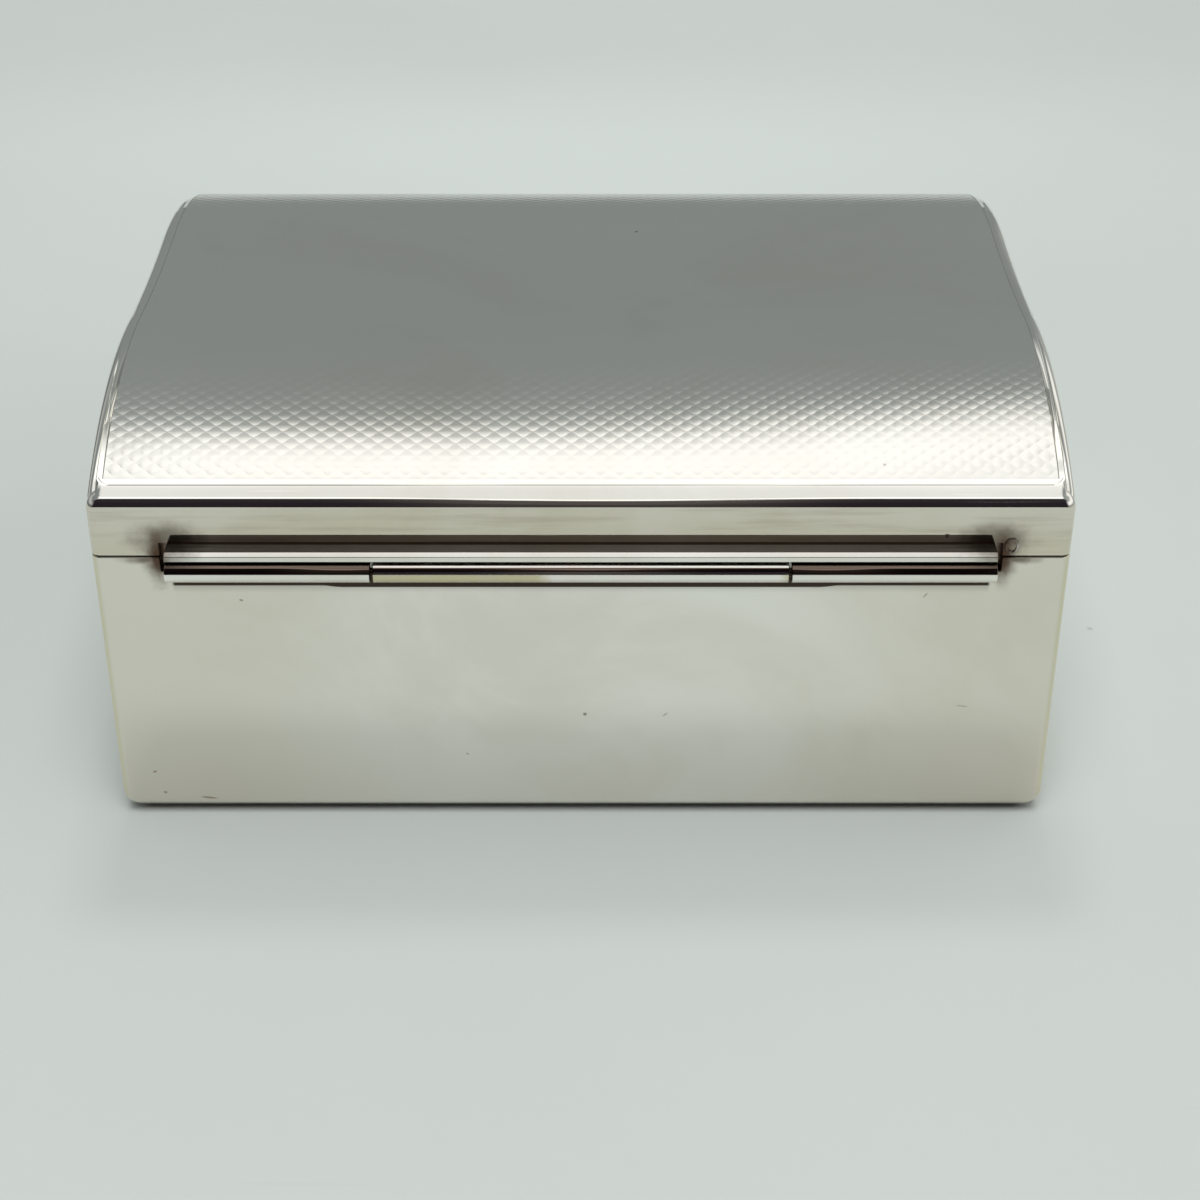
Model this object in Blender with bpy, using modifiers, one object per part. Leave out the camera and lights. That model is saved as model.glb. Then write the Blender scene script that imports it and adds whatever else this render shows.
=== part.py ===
"""Silver table box for cigarettes: a cedar-lined body and an engine-turned hinged lid.

The box stands on z = 0. Its hinge is at +Y, its thumb piece at -Y, and +X is to the right
of someone who faces the thumb piece. The origin is the centre of the base plate's underside.
"""

import bpy
import bmesh
from math import cos, pi, sin, sqrt
from mathutils import Matrix

MM = 0.001

# Driving sizes of the silver case
WIDTH = 101.6 * MM
DEPTH = 82.5 * MM
BODY_HEIGHT = 33.3 * MM
WALL = 0.9 * MM
CORNER_RADIUS = 1.0 * MM
BASE_RADIUS = 3.0 * MM
BASE_RIM = 4.0 * MM
BASE_PLATE_THICKNESS = 0.9 * MM
MOUTH_SEAM = 0.2 * MM

# Driving sizes of the lid, its heights counted from the mouth
LID_EDGE_HEIGHT = 6.2 * MM
LID_CROWN_HEIGHT = 14.0 * MM
LID_CROWN_INSET = 26.0 * MM
LID_MIDDLE_DIP = 0.5 * MM
LID_SHEET = 0.7 * MM
LID_EDGE_ROUND = 1.4 * MM
LID_LIP = 1.5 * MM
LID_SEAM = 0.2 * MM

# Bezel that stands up inside the mouth
BEZEL_THICKNESS = 0.8 * MM
BEZEL_HEIGHT = 5.2 * MM
BEZEL_PROUD = 1.2 * MM

# Hinge, placed from the back wall and the mouth
HINGE_LENGTH = 85.5 * MM
HINGE_STANDOFF = 2.0 * MM
HINGE_DROP = 0.7 * MM
KNUCKLE_RADIUS = 1.05 * MM
KNUCKLE_BORE_RADIUS = 0.58 * MM
KNUCKLE_CHAMFER = 0.12 * MM
KNUCKLE_GAP = 0.45 * MM
OUTER_KNUCKLE_LENGTH = 21.0 * MM
PIN_CLEARANCE = 0.1 * MM
PLUG_LENGTH = 1.6 * MM
SOLDER_GAP = 0.2 * MM
NOTCH_END_GAP = 0.9 * MM
LID_BEARER_THICKNESS = 1.0 * MM
LID_BEARER_REACH = 2.3 * MM
BODY_BEARER_REACH = 0.9 * MM
BODY_BEARER_DEPTH = 1.5 * MM
APRON_DEPTH = 3.3 * MM
APRON_END_DEPTH = 2.1 * MM
APRON_END_RISE = 0.2 * MM
APRON_SHOULDER = 11.0 * MM
APRON_SHOULDER_GAP = 1.5 * MM

# Cedar lining
CEDAR = 2.4 * MM
LINING_FLOOR_THICKNESS = 1.8 * MM
DIVIDER_THICKNESS = 2.4 * MM
DIVIDER_DROP = 4.0 * MM
GROOVE_DEPTH = 1.0 * MM
CEDAR_EDGE_ROUND = 0.35 * MM

# Thumb piece on the lid's front wall
THUMB_WIDTH = 16.0 * MM
THUMB_REACH = 2.6 * MM
THUMB_HEIGHT = 1.8 * MM
THUMB_RISE = 0.5 * MM
THUMB_SHOULDER = 3.0 * MM
THUMB_EDGE_ROUND = 0.35 * MM

# Clearances and the overrun of every cut
FIT_GAP = 0.3 * MM
OVERRUN = 2.0 * MM
WELD_DISTANCE = 0.001 * MM

# Facets
FLAT_ANGLE = 0.001
SHARP_ANGLE = pi / 6
ARC_STEPS = 6
CROWN_STEPS = 32
SHOULDER_STEPS = 8
EASED_STEPS = 2
TUBE_SIDES = 32

HALF_WIDTH = WIDTH / 2
HALF_DEPTH = DEPTH / 2
MOUTH = BODY_HEIGHT
BODY_TOP = MOUTH - MOUTH_SEAM / 2
LID_BOTTOM = MOUTH + MOUTH_SEAM / 2
HINGE_Y = HALF_DEPTH + HINGE_STANDOFF
HINGE_Z = MOUTH - HINGE_DROP
CENTRE_KNUCKLE_LENGTH = HINGE_LENGTH - 2 * (OUTER_KNUCKLE_LENGTH + KNUCKLE_GAP)
PIN_RADIUS = KNUCKLE_BORE_RADIUS - PIN_CLEARANCE

SILVER = (0.86, 0.85, 0.80)
TARNISHED_SILVER = (0.70, 0.65, 0.50)
NICKEL_SILVER = (0.62, 0.60, 0.55)
CEDAR_BROWN = (0.50, 0.28, 0.15)


def clear_scene():
    for item in list(bpy.data.objects):
        bpy.data.objects.remove(item, do_unlink=True)
    for group in list(bpy.data.collections):
        bpy.data.collections.remove(group)


def new_collection(name):
    group = bpy.data.collections.new(name)
    bpy.context.scene.collection.children.link(group)
    return group


def principled(name, colour, roughness, metallic):
    material = bpy.data.materials.new(name)
    material.use_nodes = True
    shader = material.node_tree.nodes["Principled BSDF"]
    shader.inputs["Base Color"].default_value = (*colour, 1.0)
    shader.inputs["Roughness"].default_value = roughness
    shader.inputs["Metallic"].default_value = metallic
    return material


# Directions in which a flat outline is pushed out
ALONG_X = Matrix(((0, 0, 1), (1, 0, 0), (0, 1, 0))).to_4x4()
ALONG_Y = Matrix(((1, 0, 0), (0, 0, -1), (0, 1, 0))).to_4x4()
ALONG_Z = Matrix.Identity(4)


def prism(name, outline, low, high, direction, group):
    """Push a closed flat outline from low to high along one axis."""
    curve = bpy.data.curves.new(name, "CURVE")
    curve.dimensions = "2D"
    curve.fill_mode = "BOTH"
    curve.extrude = (high - low) / 2
    spline = curve.splines.new("POLY")
    spline.points.add(len(outline) - 1)
    for point, (across, up) in zip(spline.points, outline):
        point.co = (across, up, 0, 1)
    spline.use_cyclic_u = True
    guide = bpy.data.objects.new(name + "_outline", curve)
    group.objects.link(guide)
    middle = (low + high) / 2
    if direction is ALONG_Y:
        middle = -middle
    guide.matrix_world = direction @ Matrix.Translation((0, 0, middle))
    return mesh_object(name, guide, group)


def mesh_object(name, source, group):
    """Turn a filled curve into a welded mesh object whose caps are single faces."""
    bpy.context.view_layer.update()
    graph = bpy.context.evaluated_depsgraph_get()
    mesh = bpy.data.meshes.new_from_object(source.evaluated_get(graph))
    placed = source.matrix_world.copy()
    bpy.data.objects.remove(source, do_unlink=True)
    mesh.transform(placed)
    work = bmesh.new()
    work.from_mesh(mesh)
    bmesh.ops.remove_doubles(work, verts=work.verts, dist=WELD_DISTANCE)
    bmesh.ops.dissolve_limit(work, angle_limit=FLAT_ANGLE, verts=work.verts, edges=work.edges)
    bmesh.ops.recalc_face_normals(work, faces=work.faces)
    work.to_mesh(mesh)
    work.free()
    mesh.name = name
    item = bpy.data.objects.new(name, mesh)
    group.objects.link(item)
    return item


def combine(target, tool, operation):
    modifier = target.modifiers.new(operation.title() + " " + tool.name, "BOOLEAN")
    modifier.operation = operation
    modifier.solver = "EXACT"
    modifier.object = tool
    if tool.name not in cutters.objects:
        for group in tool.users_collection:
            group.objects.unlink(tool)
        cutters.objects.link(tool)
    tool.hide_render = True
    tool.display_type = "WIRE"


def soften(target, width, segments):
    modifier = target.modifiers.new("Rounded edges", "BEVEL")
    modifier.width = width
    modifier.segments = segments
    modifier.limit_method = "ANGLE"
    modifier.angle_limit = SHARP_ANGLE


def rectangle(half_across, low, high):
    return [(-half_across, low), (half_across, low), (half_across, high), (-half_across, high)]


def arc(centre, radius, start, end, steps):
    points = []
    for step in range(steps + 1):
        angle = start + (end - start) * step / steps
        points.append((centre[0] + radius * cos(angle), centre[1] + radius * sin(angle)))
    return points


def rounded_rectangle(half_across, half_up, radius):
    """Plan outline whose four corners are arcs of one radius."""
    points = []
    for turn, (side, end) in enumerate(((1, 1), (-1, 1), (-1, -1), (1, -1))):
        centre = (side * (half_across - radius), end * (half_up - radius))
        points += arc(centre, radius, turn * pi / 2, (turn + 1) * pi / 2, ARC_STEPS)
    return points


def tub(name, half_x, half_y, low, high, base_radius, corner_radius, group):
    """Solid tub lofted through rounded rectangles that draw in along the arc of its base edge."""
    levels = [(high, 0)]
    for step in range(ARC_STEPS + 1):
        angle = pi / 2 * step / ARC_STEPS
        levels.append((low + base_radius * (1 - sin(angle)), base_radius * (1 - cos(angle))))
    work = bmesh.new()
    rings = []
    for height, inset in levels:
        outline = rounded_rectangle(half_x - inset, half_y - inset, corner_radius)
        ring = [work.verts.new((across, along, height)) for across, along in outline]
        rings.append([work.edges.new(pair) for pair in zip(ring, ring[1:] + ring[:1])])
    for upper, lower in zip(rings, rings[1:]):
        bmesh.ops.bridge_loops(work, edges=upper + lower)
    bmesh.ops.holes_fill(work, edges=rings[0] + rings[-1])
    bmesh.ops.recalc_face_normals(work, faces=work.faces)
    mesh = bpy.data.meshes.new(name)
    work.to_mesh(mesh)
    work.free()
    item = bpy.data.objects.new(name, mesh)
    group.objects.link(item)
    return item


def crown_height(y):
    """Height of the lid's top over the mouth: a convex arc from each long edge, a hollow between."""
    inset = HALF_DEPTH - min(abs(y), HALF_DEPTH)
    rise = LID_CROWN_HEIGHT - LID_EDGE_HEIGHT
    convex = (LID_CROWN_INSET ** 2 + rise ** 2) / (2 * rise)
    middle = HALF_DEPTH - LID_CROWN_INSET
    slope = 2 * LID_MIDDLE_DIP / middle
    turn = LID_CROWN_INSET + slope * convex
    if inset <= turn:
        return LID_CROWN_HEIGHT - convex + sqrt(convex ** 2 - (inset - LID_CROWN_INSET) ** 2)
    hollow = (HALF_DEPTH - turn) / slope
    lowest = LID_CROWN_HEIGHT - LID_MIDDLE_DIP
    return lowest + hollow - sqrt(hollow ** 2 - (HALF_DEPTH - inset) ** 2)


def crown_outline(half_across, floor, drop):
    """Side outline of the lid, its top lowered by drop, on a flat floor."""
    points = [(-half_across, floor), (half_across, floor)]
    for step in range(CROWN_STEPS + 1):
        across = half_across * (1 - 2 * step / CROWN_STEPS)
        points.append((across, MOUTH + crown_height(across) - drop))
    return points


def lid_shell(name):
    """Rounded lid block, hollowed and cut off at the mouth."""
    shell = prism(name, crown_outline(HALF_DEPTH, MOUTH - OVERRUN, 0),
                  -HALF_WIDTH, HALF_WIDTH, ALONG_X, model)
    soften(shell, LID_EDGE_ROUND, ARC_STEPS // 2)
    shell.modifiers.new("Flat faces", "TRIANGULATE")
    hollow = prism(name + "_hollow", crown_outline(HALF_DEPTH - WALL, MOUTH - 2 * OVERRUN, LID_SHEET),
                   -HALF_WIDTH + WALL, HALF_WIDTH - WALL, ALONG_X, cutters)
    combine(shell, hollow, "DIFFERENCE")
    below = prism(name + "_below", rectangle(HALF_DEPTH + OVERRUN, MOUTH - 2 * OVERRUN, LID_BOTTOM),
                  -HALF_WIDTH - OVERRUN, HALF_WIDTH + OVERRUN, ALONG_X, cutters)
    combine(shell, below, "DIFFERENCE")
    return shell


def seam_block(name, drop):
    """Everything under a surface that follows the crown, drop below it."""
    return prism(name, crown_outline(HALF_DEPTH + OVERRUN, MOUTH - 2 * OVERRUN, drop),
                 -HALF_WIDTH - OVERRUN, HALF_WIDTH + OVERRUN, ALONG_X, cutters)


def make_lid_wall():
    wall = lid_shell("lid_wall")
    combine(wall, seam_block("lid_wall_seam", LID_LIP + LID_SEAM / 2), "INTERSECT")
    top = lid_bearer_top() + FIT_GAP
    notch = prism("lid_notch", rectangle(HINGE_LENGTH / 2 + NOTCH_END_GAP, MOUTH - OVERRUN, top),
                  HALF_DEPTH - WALL - FIT_GAP, HALF_DEPTH + OVERRUN, ALONG_Y, cutters)
    combine(wall, notch, "DIFFERENCE")
    return wall


def make_lid_top():
    top = lid_shell("lid_top")
    combine(top, seam_block("lid_top_seam", LID_LIP - LID_SEAM / 2), "DIFFERENCE")
    return top


def make_body_wall():
    wall = tub("body_wall", HALF_WIDTH, HALF_DEPTH, 0, BODY_TOP, BASE_RADIUS, CORNER_RADIUS, model)
    hollow = tub("body_hollow", HALF_WIDTH - WALL, HALF_DEPTH - WALL, WALL, BODY_TOP + OVERRUN,
                 BASE_RADIUS - WALL, CORNER_RADIUS, cutters)
    combine(wall, hollow, "DIFFERENCE")
    opening = prism("base_opening", base_outline(0), -OVERRUN, OVERRUN, ALONG_Z, cutters)
    combine(wall, opening, "DIFFERENCE")
    depth = BODY_BEARER_DEPTH + FIT_GAP
    notch = prism("body_notch",
                  rectangle(HINGE_LENGTH / 2 + NOTCH_END_GAP, MOUTH - depth, MOUTH + OVERRUN),
                  HALF_DEPTH - WALL - FIT_GAP, HALF_DEPTH + OVERRUN, ALONG_Y, cutters)
    combine(wall, notch, "DIFFERENCE")
    return wall


def base_outline(gap):
    inset = BASE_RIM + gap
    return rounded_rectangle(HALF_WIDTH - inset, HALF_DEPTH - inset, CORNER_RADIUS)


def make_base_plate():
    return prism("base_plate", base_outline(FIT_GAP), 0, BASE_PLATE_THICKNESS, ALONG_Z, model)


def make_bezel():
    """Thin frame inside the mouth, which the closed lid fits over."""
    outer = WALL + FIT_GAP
    inner = outer + BEZEL_THICKNESS
    top = MOUTH + BEZEL_PROUD
    low = top - BEZEL_HEIGHT
    bezel = prism("body_bezel",
                  rounded_rectangle(HALF_WIDTH - outer, HALF_DEPTH - outer, CORNER_RADIUS),
                  low, top, ALONG_Z, model)
    hollow = prism("bezel_hollow",
                   rounded_rectangle(HALF_WIDTH - inner, HALF_DEPTH - inner, CORNER_RADIUS),
                   low - OVERRUN, top + OVERRUN, ALONG_Z, cutters)
    combine(bezel, hollow, "DIFFERENCE")
    return bezel


def lid_bearer_bottom():
    return HINGE_Z + KNUCKLE_RADIUS + SOLDER_GAP


def lid_bearer_top():
    return lid_bearer_bottom() + LID_BEARER_THICKNESS


def make_lid_bearer():
    """Ledge over the knuckles: a strip through the lid's notch with a round nose."""
    radius = LID_BEARER_THICKNESS / 2
    middle = (lid_bearer_bottom() + lid_bearer_top()) / 2
    nose = (HALF_DEPTH + LID_BEARER_REACH - radius, middle)
    outline = arc(nose, radius, -pi / 2, pi / 2, 2 * ARC_STEPS)
    outline += [(HALF_DEPTH - WALL, lid_bearer_top()), (HALF_DEPTH - WALL, lid_bearer_bottom())]
    return prism("lid_bearer", outline, -HINGE_LENGTH / 2, HINGE_LENGTH / 2, ALONG_X, model)


def apron_outline():
    """Back view of the body bearer: deep under the centre knuckle, filed up beyond it."""
    shallow = MOUTH - APRON_END_DEPTH
    deep = MOUTH - APRON_DEPTH
    inner = CENTRE_KNUCKLE_LENGTH / 2 + APRON_SHOULDER_GAP
    right = []
    for step in range(SHOULDER_STEPS + 1):
        share = step / SHOULDER_STEPS
        lift = (1 - cos(pi * share)) / 2
        right.append((inner + APRON_SHOULDER * share, deep + (shallow - deep) * lift))
    right.append((HINGE_LENGTH / 2, shallow + APRON_END_RISE))
    right.append((HINGE_LENGTH / 2, BODY_TOP))
    left = [(-across, up) for across, up in reversed(right)]
    return left + right


def make_body_bearer():
    """Strip in the body's notch with an apron down the wall, hollowed for the knuckles."""
    bearer = prism("body_bearer", apron_outline(), HALF_DEPTH - WALL,
                   HALF_DEPTH + BODY_BEARER_REACH, ALONG_Y, model)
    behind = prism("bearer_back",
                   rectangle(HALF_WIDTH, MOUTH - APRON_DEPTH - OVERRUN, MOUTH - BODY_BEARER_DEPTH),
                   HALF_DEPTH - WALL - OVERRUN, HALF_DEPTH + SOLDER_GAP, ALONG_Y, cutters)
    combine(bearer, behind, "DIFFERENCE")
    groove = cylinder("knuckle_groove", KNUCKLE_RADIUS + SOLDER_GAP, -HALF_WIDTH, HALF_WIDTH, cutters)
    combine(bearer, groove, "DIFFERENCE")
    return bearer


def cylinder(name, radius, left, right, group, chamfer=0):
    """Solid round bar on the hinge's axis."""
    mesh = bpy.data.meshes.new(name)
    work = bmesh.new()
    bmesh.ops.create_cone(work, cap_ends=True, segments=TUBE_SIDES, radius1=radius,
                          radius2=radius, depth=right - left)
    if chamfer:
        rims = [edge for edge in work.edges if abs(edge.verts[0].co.z - edge.verts[1].co.z) < chamfer]
        bmesh.ops.bevel(work, geom=rims, offset=chamfer, segments=EASED_STEPS, affect="EDGES",
                        profile=0.5)
    bmesh.ops.transform(work, matrix=Matrix.Rotation(pi / 2, 4, "Y"), verts=work.verts)
    bmesh.ops.translate(work, vec=((left + right) / 2, 0, 0), verts=work.verts)
    bmesh.ops.recalc_face_normals(work, faces=work.faces)
    work.to_mesh(mesh)
    work.free()
    item = bpy.data.objects.new(name, mesh)
    item.location = (0, HINGE_Y, HINGE_Z)
    group.objects.link(item)
    return item


def make_knuckle(name, left, right):
    knuckle = cylinder(name, KNUCKLE_RADIUS, left, right, model, KNUCKLE_CHAMFER)
    bore = cylinder(name + "_bore", KNUCKLE_BORE_RADIUS, left - OVERRUN, right + OVERRUN, cutters)
    combine(knuckle, bore, "DIFFERENCE")
    return knuckle


def make_knuckles():
    end = HINGE_LENGTH / 2
    inner = end - OUTER_KNUCKLE_LENGTH
    centre = CENTRE_KNUCKLE_LENGTH / 2
    return [make_knuckle("left_knuckle", -end, -inner),
            make_knuckle("centre_knuckle", -centre, centre),
            make_knuckle("right_knuckle", inner, end)]


def make_pin():
    half = HINGE_LENGTH / 2 - PLUG_LENGTH - FIT_GAP
    return cylinder("hinge_pin", PIN_RADIUS, -half, half, model)


def make_plugs():
    end = HINGE_LENGTH / 2
    return [cylinder("left_pin_plug", PIN_RADIUS, -end, -end + PLUG_LENGTH, model, KNUCKLE_CHAMFER),
            cylinder("right_pin_plug", PIN_RADIUS, end - PLUG_LENGTH, end, model, KNUCKLE_CHAMFER)]


def board(name, low, high):
    """Flat cedar board between two corners, its edges eased."""
    plan = [(low[0], low[1]), (high[0], low[1]), (high[0], high[1]), (low[0], high[1])]
    item = prism(name, plan, low[2], high[2], ALONG_Z, model)
    soften(item, CEDAR_EDGE_ROUND, EASED_STEPS)
    return item


def make_lining():
    floor_low = BASE_PLATE_THICKNESS + FIT_GAP
    floor_top = floor_low + LINING_FLOOR_THICKNESS
    floor_x = HALF_WIDTH - BASE_RADIUS
    floor_y = HALF_DEPTH - BASE_RADIUS
    floor = board("lining_floor", (-floor_x, -floor_y, floor_low), (floor_x, floor_y, floor_top))

    low = floor_top + FIT_GAP
    high = MOUTH + BEZEL_PROUD - BEZEL_HEIGHT - FIT_GAP
    outer_x = HALF_WIDTH - WALL - FIT_GAP
    outer_y = HALF_DEPTH - WALL - FIT_GAP
    inner_y = outer_y - CEDAR
    inner_x = outer_x - CEDAR
    front = board("lining_front", (-outer_x, -outer_y, low), (outer_x, -inner_y, high))
    back = board("lining_back", (-outer_x, inner_y, low), (outer_x, outer_y, high))
    side_y = inner_y - FIT_GAP
    left = board("lining_left", (-outer_x, -side_y, low), (-inner_x, side_y, high))
    right = board("lining_right", (inner_x, -side_y, low), (outer_x, side_y, high))

    groove_x = DIVIDER_THICKNESS / 2 + FIT_GAP
    groove_y = inner_y + GROOVE_DEPTH
    for name, wall_board in (("front_groove", front), ("back_groove", back)):
        side = -1 if wall_board is front else 1
        near, far = sorted((side * (inner_y - OVERRUN), side * groove_y))
        cut = prism(name, rectangle(groove_x, low - OVERRUN, high + OVERRUN), near, far, ALONG_Y,
                    cutters)
        combine(wall_board, cut, "DIFFERENCE")
    end_y = groove_y - FIT_GAP
    half = DIVIDER_THICKNESS / 2
    divider = board("lining_divider", (-half, -end_y, low), (half, end_y, high - DIVIDER_DROP))
    return [floor, front, back, left, right, divider]


def thumb_outline():
    """Plan of the thumb piece: a straight bar between two swept shoulders."""
    root = -HALF_DEPTH - SOLDER_GAP
    points = []
    for step in range(SHOULDER_STEPS + 1):
        share = step / SHOULDER_STEPS
        reach = THUMB_REACH * (1 - cos(pi * share)) / 2
        points.append((-THUMB_WIDTH / 2 + THUMB_SHOULDER * share, root - reach))
    mirrored = [(-across, along) for across, along in reversed(points)]
    return points + mirrored


def make_thumb_piece():
    low = LID_BOTTOM + THUMB_RISE
    thumb = prism("thumb_piece", thumb_outline(), low, low + THUMB_HEIGHT, ALONG_Z, model)
    soften(thumb, THUMB_EDGE_ROUND, ARC_STEPS // 2)
    return thumb


def finish(item, material):
    item.data.materials.clear()
    item.data.materials.append(material)
    item.data.shade_smooth()
    item.data.set_sharp_from_angle(angle=SHARP_ANGLE)


def hang_on_hinge(pieces):
    """Parent the lid's pieces to an empty on the hinge's axis, where they are."""
    pivot = bpy.data.objects.new("lid_hinge", None)
    pivot.location = (0, HINGE_Y, HINGE_Z)
    pivot.empty_display_size = WIDTH / 2
    model.objects.link(pivot)
    bpy.context.view_layer.update()
    for piece in pieces:
        piece.parent = pivot
        piece.matrix_parent_inverse = pivot.matrix_world.inverted()


def main():
    silver = principled("silver", SILVER, 0.12, 1.0)
    tarnished = principled("tarnished_silver", TARNISHED_SILVER, 0.3, 1.0)
    nickel = principled("nickel_silver", NICKEL_SILVER, 0.35, 1.0)
    cedar = principled("cedar", CEDAR_BROWN, 0.6, 0.0)

    body_wall = make_body_wall()
    base_plate = make_base_plate()
    bezel = make_bezel()
    body_bearer = make_body_bearer()
    left_knuckle, centre_knuckle, right_knuckle = make_knuckles()
    pin = make_pin()
    plugs = make_plugs()
    lining = make_lining()
    lid_wall = make_lid_wall()
    lid_top = make_lid_top()
    lid_bearer = make_lid_bearer()
    thumb = make_thumb_piece()

    for item in (body_wall, base_plate, bezel, body_bearer, left_knuckle, right_knuckle, lid_wall,
                 lid_top, lid_bearer, thumb, *plugs):
        finish(item, silver)
    finish(centre_knuckle, tarnished)
    finish(pin, nickel)
    for item in lining:
        finish(item, cedar)

    hang_on_hinge([lid_wall, lid_top, lid_bearer, left_knuckle, right_knuckle, pin, *plugs, thumb])


clear_scene()
model = new_collection("cigarette_box")
cutters = new_collection("cutters")
main()
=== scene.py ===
"""Looks of a silver table box for cigarettes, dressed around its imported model.

The lid's plain rim, its engine-turned field and the hinge are built here at full detail.
The other silver pieces are copies of the model's own, with eased edges. +Y is the hinge side.
"""

from math import cos, pi, radians, sin, sqrt

import bmesh
import bpy
from bpy.props import FloatProperty, FloatVectorProperty, IntProperty, PointerProperty
from mathutils import Matrix, Vector


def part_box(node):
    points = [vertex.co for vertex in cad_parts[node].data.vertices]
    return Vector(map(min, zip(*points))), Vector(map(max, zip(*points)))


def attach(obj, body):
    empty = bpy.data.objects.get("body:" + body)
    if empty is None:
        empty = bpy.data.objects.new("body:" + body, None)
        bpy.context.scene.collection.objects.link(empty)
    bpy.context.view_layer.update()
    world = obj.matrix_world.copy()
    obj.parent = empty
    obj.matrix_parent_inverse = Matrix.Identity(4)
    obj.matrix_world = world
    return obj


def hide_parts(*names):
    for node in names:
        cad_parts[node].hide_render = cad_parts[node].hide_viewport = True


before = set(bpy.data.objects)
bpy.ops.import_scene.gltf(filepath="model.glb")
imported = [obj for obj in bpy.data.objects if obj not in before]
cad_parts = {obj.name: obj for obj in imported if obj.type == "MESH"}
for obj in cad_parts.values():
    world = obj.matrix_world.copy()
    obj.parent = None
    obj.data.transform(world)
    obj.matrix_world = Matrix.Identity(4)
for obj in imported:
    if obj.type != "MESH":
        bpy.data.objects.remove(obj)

bl_info = {
    "name": "Silver table box",
    "version": (1, 0, 0),
    "blender": (4, 5, 0),
    "location": "3D View > Sidebar > Silver Box",
    "description": "Dresses the packed model of a silver table box with an engine-turned lid",
    "category": "Object",
}

MM = 0.001
WELD = 0.002 * MM
# Angles between two faces: almost none, a worn edge, and a sharp one on a piece and on the lid
FLAT = radians(0.4)
WORN = radians(28)
SHARP = radians(32)
LID_SHARP = radians(24)


def length(name, description, millimetres):
    return FloatProperty(name=name, description=description, default=millimetres * MM,
                         min=0, precision=5, subtype="DISTANCE", unit="LENGTH")


def colour(name, description, value):
    return FloatVectorProperty(name=name, description=description, default=value, size=3,
                               min=0, max=1, subtype="COLOR")


def share(name, description, value):
    return FloatProperty(name=name, description=description, default=value, min=0, max=1,
                         subtype="FACTOR")


class BoxLidSizes(bpy.types.PropertyGroup):
    """Sizes of the lid's crown, its plain rim and its engraved field."""

    crown_rise: length("Crown rise", "Height of the crest over the lid's long edges", 7.8)
    crown_inset: length("Crown inset", "From a long edge to the crest above it", 26.0)
    middle_dip: length("Middle dip", "Depth of the hollow between the two crests", 0.5)
    edge_round: length("Edge rounding", "Radius of the lid's upper edges", 1.4)
    corner_round: length("Corner rounding", "Radius of the lid's corners in plan", 1.0)
    lower_edge: length("Lower edge", "Rounding worn onto the lid's lower edge", 0.12)
    wall: length("Wall", "Thickness of the lid's walls", 0.9)
    sheet: length("Sheet", "Thickness of the lid's top", 0.7)
    rim: length("Rim", "Width of the plain rim along the lid's long edges", 2.5)
    line_inset: length("Line inset", "From a long edge to the engraved border line", 1.88)
    end_less: length("End narrowing", "How much narrower the rim is at the lid's ends", 0.8)
    line_width: length("Line width", "Width of the engraved border line", 0.16)
    line_depth: length("Line depth", "Depth of the engraved border line", 0.025)
    line_corner: length("Line corner", "Corner radius of the engraved border line", 1.2)
    seam_close: length("Seam closing", "How far the lid's lower edge reaches into the seam", 0.07)
    notch_end: length("Notch end", "From the hinge's end to the end of its notch", 0.9)
    notch_top: length("Notch top", "Seam left over the hinge's ledge", 0.06)
    field_sink: length("Field seat", "Depth of the seat under the engraved field", 0.2)
    field_gap: length("Field gap", "Hairline round the engraved field", 0.02)
    grain_length: length("Grain length", "Length of one barleycorn grain", 1.98)
    row_height: length("Row height", "From one wavy cut to the next", 0.725)
    grain_height: length("Grain height", "Height of a grain over the cuts round it", 0.03)
    steep_share: share("Steep share", "Share of a grain's breadth that its steep side takes", 0.24)
    wave_height: share("Wave height", "Swing of a cut as a share of the row height", 0.46)


class BoxCaseSizes(bpy.types.PropertyGroup):
    """Sizes of the eased edges and of the hinge's small forms."""

    worn_edge: length("Worn edge", "Rounding worn onto the case's edges", 0.12)
    knuckle_ease: length("Knuckle easing", "Rounding of the knuckles' ends", 0.05)
    knuckle_reach: length("Knuckle reach", "How far each knuckle runs on into its gap", 0.11)
    pin_play: length("Pin play", "Gap between the pin and the knuckles' bores", 0.1)
    nose_depth: length("Nose depth", "Front to back size of the ledge's chamfer", 0.5)
    nose_height: length("Nose height", "Height of the ledge's chamfer", 0.3)
    bead_ring: length("Bead ring", "Radius of the solder curl beside the hinge", 0.6)
    bead_thickness: length("Bead thickness", "Radius of the curl's own roll", 0.17)
    bead_beside: length("Bead place", "From the knuckle's end to the curl", 1.75)
    bead_above: length("Bead height", "From the lid's lower edge up to the curl", 1.1)


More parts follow.
